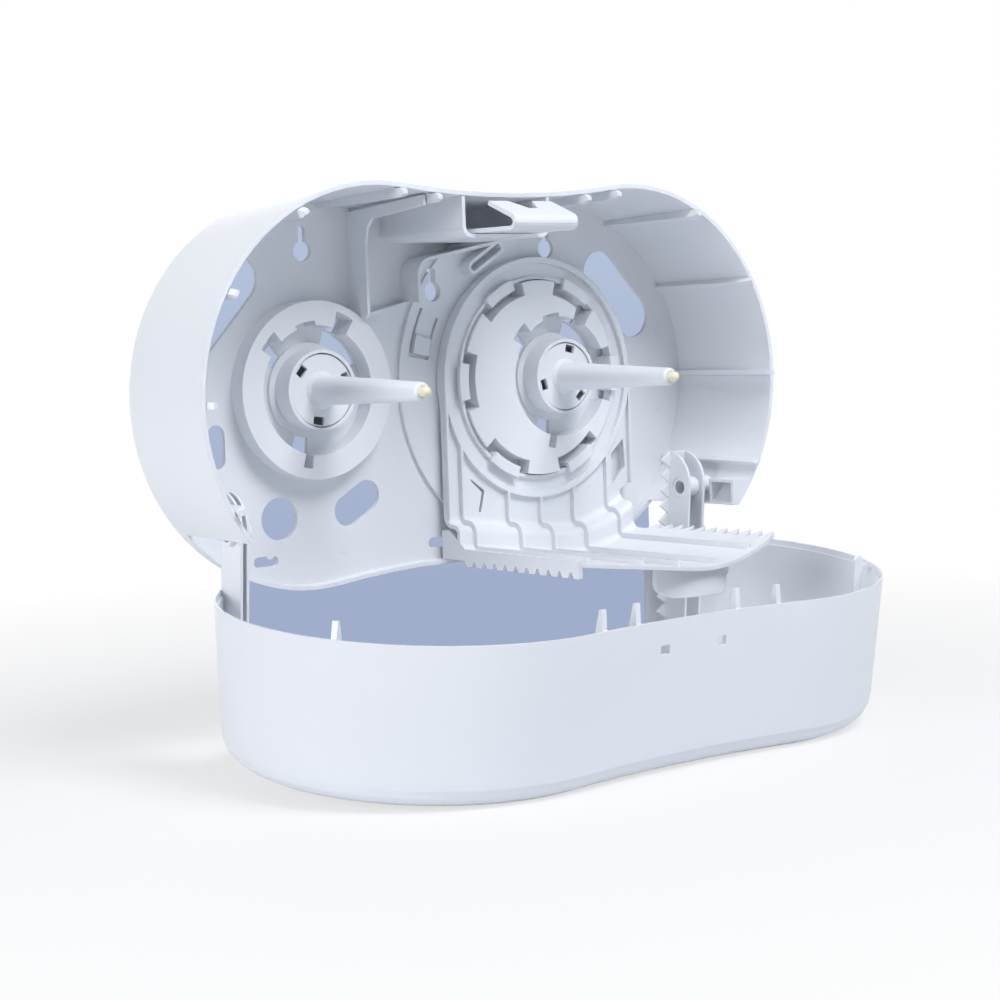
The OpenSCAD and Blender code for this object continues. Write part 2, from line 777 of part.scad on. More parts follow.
module latch_tongue() {
    x0 = latch_x - latch_w / 2;
    tip = at(tongue_len, tongue_deg);
    foot = at(bend_outer, tongue_deg - 90);
    heel = at(latch_bend_r, tongue_deg - 90);
    color(pale) difference() {
        slab(x0, x0 + latch_w) translate([latch_bend_d, bend_z]) polygon(concat(
            full_arc([0, 0], bend_outer, split_deg, tongue_deg - 90, bend_steps), [foot + tip, heel + tip],
            reverse(full_arc([0, 0], latch_bend_r, split_deg, tongue_deg - 90, bend_steps))));
        translate([latch_x, -latch_bend_d, 0]) linear_extrude(lobe_r) polygon([[-notch_w, tongue_len],
            [-notch_w * 0.3, tongue_len - notch_deep], [notch_w * 0.3, tongue_len - notch_deep],
            [notch_w, tongue_len]]);
    }
}

// Hub collar, spindle sleeve and axle pin of one side

collar_t = 1.8;
foot_t = 2;
foot_d = 15.8;
foot_boss_r = 10.5;
foot_slots = 3;
tip_chamfer = 1;

module hub_collar(side) {
    color(white) spun(side * spindle_x) polygon([[axle_boss_r + move_gap, plate_t],
        [flange_r, plate_t], [flange_r, plate_t + flange_t], [collar_r, plate_t + flange_t],
        [collar_r, collar_d], [collar_r - collar_t, collar_d],
        [collar_r - collar_t, plate_t + flange_t], [axle_boss_r + move_gap, plate_t + flange_t]]);
}

module spindle_sleeve(side, turn) {
    bore = axle_r + run_gap;
    color(white) difference() {
        spun(side * spindle_x) polygon([[bore, axle_boss_d + run_gap], [foot_boss_r, axle_boss_d + run_gap],
            [foot_boss_r, foot_d - foot_t], [foot_r, foot_d - foot_t], [foot_r, foot_d],
            [sleeve_r + foot_t, foot_d], [sleeve_r, foot_d + foot_t], [tip_r, sleeve_d - tip_chamfer],
            [tip_r - tip_chamfer, sleeve_d], [bore, sleeve_d]]);
        for (i = [0 : foot_slots - 1]) layer(foot_d - foot_t - over, foot_d + over)
            translate([side * spindle_x, 0]) rotate(turn + i * 360 / foot_slots)
                translate([(foot_r + foot_boss_r) / 2 + foot_t / 2, 0]) square([foot_t * 2, foot_t * 3], center = true);
    }
}

module axle_pin(side) {
    color(cream) spun(side * spindle_x) {
        square([axle_r, axle_d - axle_r]);
        translate([0, axle_d - axle_r]) intersection() {
            circle(axle_r);
            square(axle_r);
        }
    }
}

// Front cover, drawn shut and then swung open about the hinge

cover_draft_r = lobe_r - cover_d * draft;
cover_r = cover_draft_r + face_edge_r * draft;
cover_left_end = -149;
cover_right_end = 134.5;
cover_low_z = -74;
edge_steps = 5;
key_hole_len = 4.2;
key_hole_d = 14;
key_x = [-18, 18];
rebate_d = 3;
rebate_t = 1;
finger_foot_d = 46;
slot_deg = 30.5;
rim_slot_d = 2;
rim_slot_len = 4.5;
rim_slot_w = 2.4;

// Guide fingers inside the cover: places along the waist, or angles about the right lobe, each
// with its height above the rim
waist_fingers = [[-59.6, 9], [-37.4, 9], [26.5, 9], [51.7, 8.5]];
lobe_fingers = [[25, 2.4], [152.3, 7.5]];
arm_top = 19;
arm_back = 9;
right_arm_x = [136, 148.3];
left_arm_x = [-154, -149];
arm_hook_x = 129.7;
arm_plate_t = 1.8;

// Rings of the cover's skin at an inset: drafted wall, rounded edge and crowned face
function cover_rings(inset) = concat(
    [for (i = [0 : edge_steps]) let (a = 90 * i / edge_steps)
        [cover_r - face_edge_r + (face_edge_r - inset) * cos(a),
            face_d - face_crown - face_edge_r + (face_edge_r - inset) * sin(a)]],
    [for (k = [0.66, 0.36, 0.12]) [cover_r * k, face_d - inset - face_crown * k * k]]);

module cover_shell() {
    difference() {
        loft(concat([[lobe_r, cover_rim_d]], cover_rings(0)));
        loft(concat([[lobe_r - rebate_t + over * draft, cover_rim_d - over],
            [lobe_r - rebate_t - rebate_d * draft, cover_rim_d + rebate_d],
            [lobe_r - wall - rebate_d * draft, cover_rim_d + rebate_d]], cover_rings(wall)));
        layer(cover_rim_d - over, face_d - face_crown - face_edge_r)
            box(cover_left_end, cover_right_end, -lobe_r - over - lobe_drop, cover_low_z);
        for (x = key_x) storey(lobe_r / 2, lobe_r) translate([latch_x + x, cover_rim_d + key_hole_d])
            square([key_w, key_hole_len], center = true);
        standing_rib(lobe_x, -lobe_drop, slot_deg, lobe_r, rim_slot_w)
            translate([cover_rim_d + rim_slot_d, -wall - over]) square([rim_slot_len, wall + 2 * over]);
    }
}

// Side view of a guide finger that stands out past the cover's rim
module cover_finger_outline(out) {
    foot_d = cover_rim_d + finger_foot_d;
    polygon([[foot_d, -wall / 2 - finger_foot_d * draft], [cover_rim_d + over, -wall / 2],
        [cover_rim_d, -wall - move_gap], [cover_rim_d - out, -wall - move_gap - over],
        [cover_rim_d - out, -wall - rib_h * 0.6], [cover_rim_d, -wall - rib_h],
        [foot_d, -wall - rib_h]]);
}

module cover_fingers() {
    for (f = waist_fingers) standing_rib(f[0], waist_edge(f[0], lobe_r), 90, 0, rib_w)
        cover_finger_outline(f[1]);
    for (f = lobe_fingers) standing_rib(lobe_x * sign(90 - f[0]), -lobe_drop, f[0], lobe_r, rib_w)
        cover_finger_outline(f[1]);
}

// Side view, as [depth, height], of the middle of the cover's bottom wall at x
function cover_side(x) = [for (r = concat([[lobe_r, cover_rim_d]], cover_rings(wall / 2)))
    if (r[0] > abs(x) - lobe_x + over)
        [r[1], -lobe_drop - sqrt(pow(r[0], 2) - pow(abs(x) - lobe_x, 2))]];

// Side view of the room for a hinge arm at x, shut: it ends in the cover's wall
module arm_room(x) {
    side = cover_side(x);
    polygon(concat([[0, 0], [0, -lobe_r], [cover_rim_d, -lobe_r]], side, [[side[len(side) - 1][0], 0]]));
}

// Hinge arm between x0 and x1, shut: a channel whose webs have a rounded end
module hinge_arm(x0, x1) {
    low = -hinge_drop - arm_back;
    high = low + arm_d;
    back = hinge_d - arm_top;
    for (x = [x0, x1 - web_t]) slab(x, x + web_t) difference() {
        intersection() {
            box(back, face_d, low, high);
            arm_room(max(abs(x), abs(x + web_t)));
        }
        difference() {
            box(back - over, back + arm_d, low, high + over);
            translate([back + arm_d, low]) circle(arm_d);
        }
        translate([hinge_d, -hinge_drop]) circle(stub_r + run_gap);
    }
    slab(x0, x1) intersection() {
        box(back, face_d, low, low + arm_plate_t);
        arm_room(max(abs(x0), abs(x1)));
    }
}

// Row of tear teeth along the right arm
module arm_teeth() {
    back = hinge_d - arm_top;
    count = floor((face_d - 2 * face_edge_r - back) / tooth_pitch);
    low = -hinge_drop - arm_back;
    storey(low, low + arm_plate_t) polygon(concat([[right_arm_x[0] + lap, back]],
        [for (i = [0 : count - 1]) for (p = [[1, 0], [0, 0.5]])
            [right_arm_x[0] - p[0] * over / 2 - (1 - p[0]) * (right_arm_x[0] - arm_hook_x),
                back + (i + p[1]) * tooth_pitch]],
        [[right_arm_x[0] + lap, back + count * tooth_pitch]]));
}

module front_cover() {
    color(white) translate([0, -hinge_d, -hinge_drop]) rotate([open_deg, 0, 0])
        translate([0, hinge_d, hinge_drop]) {
            cover_shell();
            hinge_arm(right_arm_x[0], right_arm_x[1]);
            hinge_arm(left_arm_x[0], left_arm_x[1]);
            arm_teeth();
            cover_fingers();
        }
}

rear_housing();
front_cover();
swing_plate();
latch_base();
latch_tongue();
hub_collar(-1);  // left_hub_collar
hub_collar(1);  // right_hub_collar
spindle_sleeve(-1, 20);  // left_spindle_sleeve
spindle_sleeve(1, 75);  // right_spindle_sleeve
axle_pin(-1);  // left_axle_pin
axle_pin(1);  // right_axle_pin
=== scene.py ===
"""Looks of a twin jumbo toilet roll dispenser, standing open against a wall.

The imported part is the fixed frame. Each moulded piece gets its finish here, and the stage holds
the camera, the lights and the floor.
"""

import math

import bmesh
import bpy
import numpy as np
from mathutils import Matrix, Vector
from mathutils.geometry import area_tri


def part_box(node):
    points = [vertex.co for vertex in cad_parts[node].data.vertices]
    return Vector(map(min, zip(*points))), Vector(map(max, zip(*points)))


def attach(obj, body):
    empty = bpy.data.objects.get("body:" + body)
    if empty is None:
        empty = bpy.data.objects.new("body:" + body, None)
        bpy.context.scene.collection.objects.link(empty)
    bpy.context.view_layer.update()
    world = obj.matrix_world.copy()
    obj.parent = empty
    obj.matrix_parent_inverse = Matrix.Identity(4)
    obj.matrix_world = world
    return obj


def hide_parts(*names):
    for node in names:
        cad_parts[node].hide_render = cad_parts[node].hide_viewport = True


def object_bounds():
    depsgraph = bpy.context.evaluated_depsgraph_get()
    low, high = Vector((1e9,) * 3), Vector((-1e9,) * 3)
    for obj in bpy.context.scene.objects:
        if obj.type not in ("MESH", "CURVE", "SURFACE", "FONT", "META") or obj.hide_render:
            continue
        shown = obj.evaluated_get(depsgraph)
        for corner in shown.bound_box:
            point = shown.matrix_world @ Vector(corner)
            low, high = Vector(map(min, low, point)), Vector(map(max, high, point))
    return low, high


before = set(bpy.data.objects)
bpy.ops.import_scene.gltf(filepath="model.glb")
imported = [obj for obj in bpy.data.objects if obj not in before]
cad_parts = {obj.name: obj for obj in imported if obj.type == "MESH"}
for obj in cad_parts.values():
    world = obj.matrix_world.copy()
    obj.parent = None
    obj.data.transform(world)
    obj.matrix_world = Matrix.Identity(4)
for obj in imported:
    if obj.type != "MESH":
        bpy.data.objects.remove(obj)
cad_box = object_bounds()

bl_info = {
    "name": "Twin roll dispenser looks",
    "version": (1, 0, 0),
    "blender": (4, 5, 0),
    "location": "3D View > Sidebar > Dispenser",
    "description": "Finishes the pieces of a wall-mounted twin roll dispenser and stages it",
    "category": "Object",
}

MM = 0.001

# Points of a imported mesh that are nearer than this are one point
MERGE = 0.002 * MM
# Two triangles fold back where their normals' product is under this
FOLD_PRODUCT = -0.999
# Folds are looked for round triangles over this area
FOLD_AREA = 100 * MM * MM
# An edge is turned where that leaves less than this share of its triangles' area
TURN_SHARE = 0.99999

# Bump strengths of the fine surface grain
SHELL_GRAIN = 0.25
SMALL_GRAIN = 0.2
GRAIN_HEIGHT = 0.05 * MM

# Ejector pins' marks: their circle as a share of a lobe's radius, and their turns in degrees
PIN_MARK_SHARE = 0.82
LEFT_MARKS = (165, 195, 225, 252, 283)
RIGHT_MARKS = (-15, 15, 47)
PIN_MARK_SIDES = 32

# Stretch of the latch's bend that the solids leave open, in degrees from straight ahead
BEND_TURNS = (-21, -15)
BEND_STEPS = 4
BEND_SHARP = math.radians(40)
HAIR = 0.03 * MM

WORLD_COLOUR = (0.80, 0.87, 1.0)
WORLD_STRENGTH = 0.08
# The floor is part white near the object, and all white past the far end of its fade
FLOOR_COLOUR = (0.75, 0.77, 0.80)
FLOOR_WHITE_SHARE = 0.65
FLOOR_FADE = (0.25, 0.70)

# The outline of the painted-shade sheet lies this far inside the housing's
SHADE_SHEET_INSET = 16 * MM
SHADE_SHEET_STEPS = 32
PATCH_BACK = 1.5 * MM
FOOT_BACK = 2.5 * MM
# Lower edge of the painted-shade sheet under the housing, as (x, z) in mm: just hidden by the
# cover's rim
FOOT_EDGE = ((-122, -120), (-88, -134), (-25, -146), (45, -151), (156, -157))
# Heights between which the sheet's painted shade changes, darker towards the bottom under the
# housing
PAINTED_SHADE_TONES = (-110 * MM, 60 * MM)


class Field:
    """A number that flows between shader nodes; arithmetic on it adds Math nodes."""

    def __init__(self, tree, socket):
        self.tree = tree
        self.socket = socket

    def _math(self, operation, *values):
        return self.tree.add("ShaderNodeMath", {"operation": operation}, dict(enumerate(values)))

    def __add__(self, other):
        return self._math("ADD", self, other)

    def __sub__(self, other):
        return self._math("SUBTRACT", self, other)

    def __rsub__(self, other):
        return self._math("SUBTRACT", other, self)

    def __mul__(self, other):
        return self._math("MULTIPLY", self, other)

    __radd__ = __add__
    __rmul__ = __mul__


class Shader:
    """A material's node tree, with one method that adds any node."""

    def __init__(self, name):
        self.material = bpy.data.materials.new(name)
        self.material.use_nodes = True
        self.nodes = self.material.node_tree.nodes
        self.links = self.material.node_tree.links
        self.nodes.clear()

    def add(self, kind, settings=None, inputs=None, output=0):
        """Adds a node, makes its settings, then fills its sockets with values or links."""
        node = self.nodes.new(kind)
        for key, value in (settings or {}).items():
            setattr(node, key, value)
        for key, value in (inputs or {}).items():
            if isinstance(value, Field):
                self.links.new(value.socket, node.inputs[key])
            else:
                node.inputs[key].default_value = value
        return Field(self, node.outputs[output]) if node.outputs else None


def object_place(shader):
    """Object coordinates, in metres."""
    return shader.add("ShaderNodeTexCoord", output="Object")


def moulded_plastic(name, colour, shade, roughness, grain, edge):
    """Injection-moulded plastic: a faint flow tint, a fine surface grain and softened edges."""
    shader = Shader(name)
    place = object_place(shader)
    flow = shader.add("ShaderNodeTexNoise", None, {"Vector": place, "Scale": 14.0, "Detail": 3.0})
    fine = shader.add("ShaderNodeTexNoise", None, {"Vector": place, "Scale": 2600.0, "Detail": 2.0})
    smear = shader.add("ShaderNodeTexNoise", None, {"Vector": place, "Scale": 90.0, "Detail": 4.0})
    tint = shader.add(
        "ShaderNodeMix",
        {"data_type": "RGBA"},
        {"Factor": flow, 6: (*colour, 1), 7: (*shade, 1)},
        output=2,
    )
    soft = shader.add("ShaderNodeBevel", {"samples": 6}, {"Radius": edge})
    bump = shader.add(
        "ShaderNodeBump",
        None,
        {"Height": fine, "Strength": grain, "Distance": GRAIN_HEIGHT, "Normal": soft},
    )
    rough = roughness + (smear - 0.5) * 0.10 + (fine - 0.5) * 0.06
    body = shader.add(
        "ShaderNodeBsdfPrincipled",
        None,
        {"Base Color": tint, "Roughness": rough, "Normal": bump, "IOR": 1.5},
    )
    shader.add("ShaderNodeOutputMaterial", None, {"Surface": body})
    return shader.material


def seen_rays(shader):
    """One for rays that show the background: the camera's, and those off or through a surface."""
    rays = ("Is Camera Ray", "Is Glossy Ray", "Is Transmission Ray")
    camera, glossy, through = (shader.add("ShaderNodeLightPath", output=ray) for ray in rays)
    return camera + glossy + through


def floor_finish():
    """Pale studio floor that keeps the shadow near the object and fades to white away from it."""
    shader = Shader("studio_floor")
    place = object_place(shader)
    away = shader.add("ShaderNodeVectorMath", {"operation": "LENGTH"}, {0: place}, output="Value")
    near, far = FLOOR_FADE
    fade = shader.add(
        "ShaderNodeMapRange", None, {"Value": away, "From Min": near, "From Max": far}
    )
    plain = shader.add(
        "ShaderNodeBsdfPrincipled", None, {"Base Color": (*FLOOR_COLOUR, 1), "Roughness": 0.9}
    )
    white = shader.add("ShaderNodeEmission", None, {"Color": (1, 1, 1, 1), "Strength": 1.0})
    share = (FLOOR_WHITE_SHARE + fade * (1 - FLOOR_WHITE_SHARE)) * seen_rays(shader)
    mixed = shader.add("ShaderNodeMixShader", None, {0: share, 1: plain, 2: white})
    shader.add("ShaderNodeOutputMaterial", None, {"Surface": mixed})
    return shader.material


def shade_sheet_finish(high, low):
    """Flat glowing blue-grey sheet of painted shade, paler at the top and darker under the housing,
    seen only from the room side.
    """
    shader = Shader("painted_shade_patch")
    height = shader.add("ShaderNodeSeparateXYZ", None, {"Vector": object_place(shader)}, output="Z")
    bottom, top = PAINTED_SHADE_TONES
    rise = shader.add(
        "ShaderNodeMapRange", None, {"Value": height, "From Min": bottom, "From Max": top}
    )
    tone = shader.add(
        "ShaderNodeMix",
        {"data_type": "RGBA"},
        {"Factor": rise, 6: (*low, 1), 7: (*high, 1)},
        output=2,
    )
    # Painted shade: the sheet glows in the blue-grey of shade and is lit by no lamp
    flat = shader.add("ShaderNodeEmission", None, {"Color": tone, "Strength": 1.0})
    clear = shader.add("ShaderNodeBsdfTransparent")
    back = shader.add("ShaderNodeNewGeometry", output="Backfacing")
    shown = (1 - back) * seen_rays(shader)
    mixed = shader.add("ShaderNodeMixShader", None, {0: shown, 1: clear, 2: flat})
    shader.add("ShaderNodeOutputMaterial", None, {"Surface": mixed})
    return shader.material


def folds(edge):
    """True where the two triangles at an edge lie back over one another."""
    if len(edge.link_faces) != 2:
        return False
    one, other = edge.link_faces
    flat = min(one.calc_area(), other.calc_area()) == 0
    return not flat and one.normal.dot(other.normal) < FOLD_PRODUCT


def mend_folds(work, layer):
    """Turns the shared edge where the triangles of a large flat face fold back over one another."""
    queue = [
        edge
        for edge in work.edges
        if folds(edge) and max(face.calc_area() for face in edge.link_faces) > FOLD_AREA
    ]
    while queue:
        edge = queue.pop()
        if not edge.is_valid or not folds(edge):
            continue
        small, large = sorted(edge.link_faces, key=lambda face: face.calc_area())
        inner = next(vert for vert in small.verts if vert not in edge.verts)
        start = next(corner for corner in large.loops if corner.edge == edge)
        left, right, far = start.vert, start.link_loop_next.vert, start.link_loop_prev.vert
        facing = large.normal.copy()
        turned = area_tri(left.co, inner.co, far.co) + area_tri(inner.co, right.co, far.co)
        if turned > TURN_SHARE * (small.calc_area() + large.calc_area()):
            continue
        for face in (small, large):
            work.faces.remove(face)
        work.edges.remove(edge)
        for verts in ((left, inner, far), (inner, right, far)):
            face = work.faces.new(verts)
            face.normal_update()
            for corner in face.loops:
                corner[layer] = facing
            queue.extend(near for near in face.edges if folds(near))


def finished_copy(node, name, material, blend):
    """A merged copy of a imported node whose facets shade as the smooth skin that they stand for."""
    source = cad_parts[node].data
    count = len(source.loops)
    made = np.empty(count * 3, dtype=np.float32)
    source.corner_normals.foreach_get("vector", made)
    work = bmesh.new()
    work.from_mesh(source)
    layer = work.loops.layers.float_vector.new("made_normal")
    for face in work.faces:
        for corner in face.loops:
            corner[layer] = made[corner.index * 3 : corner.index * 3 + 3]
    bmesh.ops.remove_doubles(work, verts=work.verts, dist=MERGE)
    mend_folds(work, layer)
    smooth = []
    limit = math.cos(blend)
    for face in work.faces:
        face.smooth = True
        for corner in face.loops:
            own = corner[layer]
            total = Vector()
            for other in corner.vert.link_loops:
                if other[layer].dot(own) > limit:
                    total += other[layer] * other.calc_angle()
            smooth.append(total.normalized() if total.length > 0 else own.copy())
    work.loops.layers.float_vector.remove(layer)
    mesh = bpy.data.meshes.new(name)
    work.to_mesh(mesh)
    work.free()
    mesh.normals_split_custom_set(smooth)
    piece = bpy.data.objects.new(name, mesh)
    bpy.context.scene.collection.objects.link(piece)
    mesh.materials.clear()
    mesh.materials.append(material)
    return piece


def pin_mark_tree(name, material):
    """Geometry Nodes: a low round pin mark, lying in a wall that faces forward, at each point."""
    tree = bpy.data.node_groups.new(name, "GeometryNodeTree")
    face = tree.interface
    face.new_socket("Geometry", in_out="INPUT", socket_type="NodeSocketGeometry")
    sockets = {}
    for label, low, high in (("Radius", 0.5 * MM, 10 * MM), ("Height", 0.02 * MM, MM)):
        sockets[label] = face.new_socket(label, in_out="INPUT", socket_type="NodeSocketFloat")
        sockets[label].min_value = low
        sockets[label].max_value = high
    face.new_socket("Geometry", in_out="OUTPUT", socket_type="NodeSocketGeometry")
    nodes, link = tree.nodes, tree.links.new
    given = nodes.new("NodeGroupInput")
    disc = nodes.new("GeometryNodeMeshCylinder")
    disc.inputs["Vertices"].default_value = PIN_MARK_SIDES
    place = nodes.new("GeometryNodeInstanceOnPoints")
    place.inputs["Rotation"].default_value = (math.radians(90), 0, 0)
    real = nodes.new("GeometryNodeRealizeInstances")
    paint = nodes.new("GeometryNodeSetMaterial")
    paint.inputs["Material"].default_value = material
    result = nodes.new("NodeGroupOutput")
    link(given.outputs["Radius"], disc.inputs["Radius"])
    link(given.outputs["Height"], disc.inputs["Depth"])
    link(given.outputs["Geometry"], place.inputs["Points"])
    link(disc.outputs["Mesh"], place.inputs["Instance"])
    link(place.outputs["Instances"], real.inputs["Geometry"])
    link(real.outputs["Geometry"], paint.inputs["Geometry"])
    link(paint.outputs["Geometry"], result.inputs["Geometry"])
    return tree, {label: socket.identifier for label, socket in sockets.items()}


def grown_from(points, name, tree, sizes):
    """A plain mesh that a Geometry Nodes tree grows from points."""
    mesh = bpy.data.meshes.new(name + "_points")
    mesh.from_pydata(points, [], [])
    seed = bpy.data.objects.new(name + "_points", mesh)
    bpy.context.scene.collection.objects.link(seed)
    grow = seed.modifiers.new("grow", "NODES")
    grow.node_group = tree
    for identifier, value in sizes.items():
        grow[identifier] = value
    evaluated = seed.evaluated_get(bpy.context.evaluated_depsgraph_get())
    plain = bpy.data.meshes.new_from_object(evaluated)
    plain.name = name
    bpy.data.objects.remove(seed)
    piece = bpy.data.objects.new(name, plain)
    bpy.context.scene.collection.objects.link(piece)
    return piece


def lobe_x():
    """How far a lobe's axis, which is its axle pin's, lies from the middle."""
    low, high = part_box("right_axle_pin")
    return (low.x + high.x) / 2


def on_lobe(side, radius, turn):
    """The (x, z) of a point round the left (-1) or right (1) lobe's axis, at a turn in degrees."""
    angle = math.radians(turn)
    return side * lobe_x() + radius * math.cos(angle), radius * math.sin(angle)


def hand_in(piece, body, slot, *nodes):
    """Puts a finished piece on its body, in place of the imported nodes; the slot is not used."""
    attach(piece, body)
    if nodes:
        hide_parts(*nodes)


class DispenserLooks(bpy.types.PropertyGroup):
    """Colours and finishes of the moulded pieces."""

    plastic: bpy.props.FloatVectorProperty(
        name="Plastic",
        description="Cool white of the moulded pieces",
        subtype="COLOR",
        default=(0.82, 0.84, 0.88),
    )
    plastic_shade: bpy.props.FloatVectorProperty(
        name="Plastic shade",
        description="The slightly deeper tone that the plastic drifts to",
        subtype="COLOR",
        default=(0.80, 0.825, 0.87),
    )
    axle: bpy.props.FloatVectorProperty(
        name="Axle",
        description="Cream of the axle pins",
        subtype="COLOR",
        default=(0.80, 0.77, 0.58),
    )
    roughness: bpy.props.FloatProperty(
        name="Roughness",
        description="Roughness of the satin plastic",
        default=0.42,
        min=0.1,
        max=0.9,
    )
    edge: bpy.props.FloatProperty(
        name="Edge radius",
        description="Softening of the moulded edges",
        subtype="DISTANCE",
        default=0.5 * MM,
        min=0.0,
        max=2 * MM,
    )
    plate: bpy.props.FloatProperty(
        name="Back plate",
        description="Thickness of the back plate",
        subtype="DISTANCE",
        default=2.5 * MM,
        min=MM,
        max=5 * MM,
    )
    mark_radius: bpy.props.FloatProperty(
        name="Pin mark radius",
        description="Radius of an ejector pin's mark",
        subtype="DISTANCE",
        default=2.6 * MM,
        min=MM,
        max=5 * MM,
    )
    mark_height: bpy.props.FloatProperty(
        name="Pin mark height",
        description="How far a pin's mark stands proud",
        subtype="DISTANCE",
        default=0.12 * MM,
        min=0.02 * MM,
        max=MM,
    )
    latch_radius: bpy.props.FloatProperty(
        name="Latch bend",
        description="Inside radius of the spring latch's bend",
        subtype="DISTANCE",
        default=2 * MM,
        min=MM,
        max=5 * MM,
    )
    latch_thickness: bpy.props.FloatProperty(
        name="Latch thickness",
        description="Thickness of the spring latch",
        subtype="DISTANCE",
        default=2.2 * MM,
        min=MM,
        max=5 * MM,
    )
    blend: bpy.props.FloatProperty(
        name="Blend angle",
        description="Facets that meet at less than this shade as one smooth skin",
        subtype="ANGLE",
        default=math.radians(14),
        min=0.05,
        max=1.5,
    )


class DispenserStage(bpy.types.PropertyGroup):
    """Camera, lights and floor."""

    focal: bpy.props.FloatProperty(
        name="Focal length",
        description="Camera lens in millimetres",
        default=77.64,
        min=20,
        max=200,
    )
    camera_place: bpy.props.FloatVectorProperty(
        name="Camera place",
        description="Where the camera stands",
        subtype="TRANSLATION",
        unit="LENGTH",
        default=(-0.68684, -0.91415, 0.03516),
    )
    yaw: bpy.props.FloatProperty(
        name="Yaw",
        description="Turn of the view to the right",
        subtype="ANGLE",
        default=math.radians(38.65),
    )
    pitch: bpy.props.FloatProperty(
        name="Pitch", description="Lift of the view", subtype="ANGLE", default=math.radians(-4.93)
    )
    roll: bpy.props.FloatProperty(
        name="Roll", description="Roll of the camera", subtype="ANGLE", default=math.radians(-1.91)
    )
    floor_size: bpy.props.FloatProperty(
        name="Floor size",
        description="How far the floor reaches",
        subtype="DISTANCE",
        default=6.0,
        min=1.0,
        max=20.0,
    )
    # Both colours are painted shade, for the glowing sheet seen through the openings and under the
    # housing
    painted_shade_high: bpy.props.FloatVectorProperty(
        name="Wall, high",
        description="Blue-grey of the backdrop behind the upper openings",
        subtype="COLOR",
        default=(0.45, 0.53, 0.70),
    )
    painted_shade_low: bpy.props.FloatVectorProperty(
        name="Wall, low",
        description="Deeper blue-grey of the backdrop under the housing",
        subtype="COLOR",
        default=(0.35, 0.42, 0.60),
    )


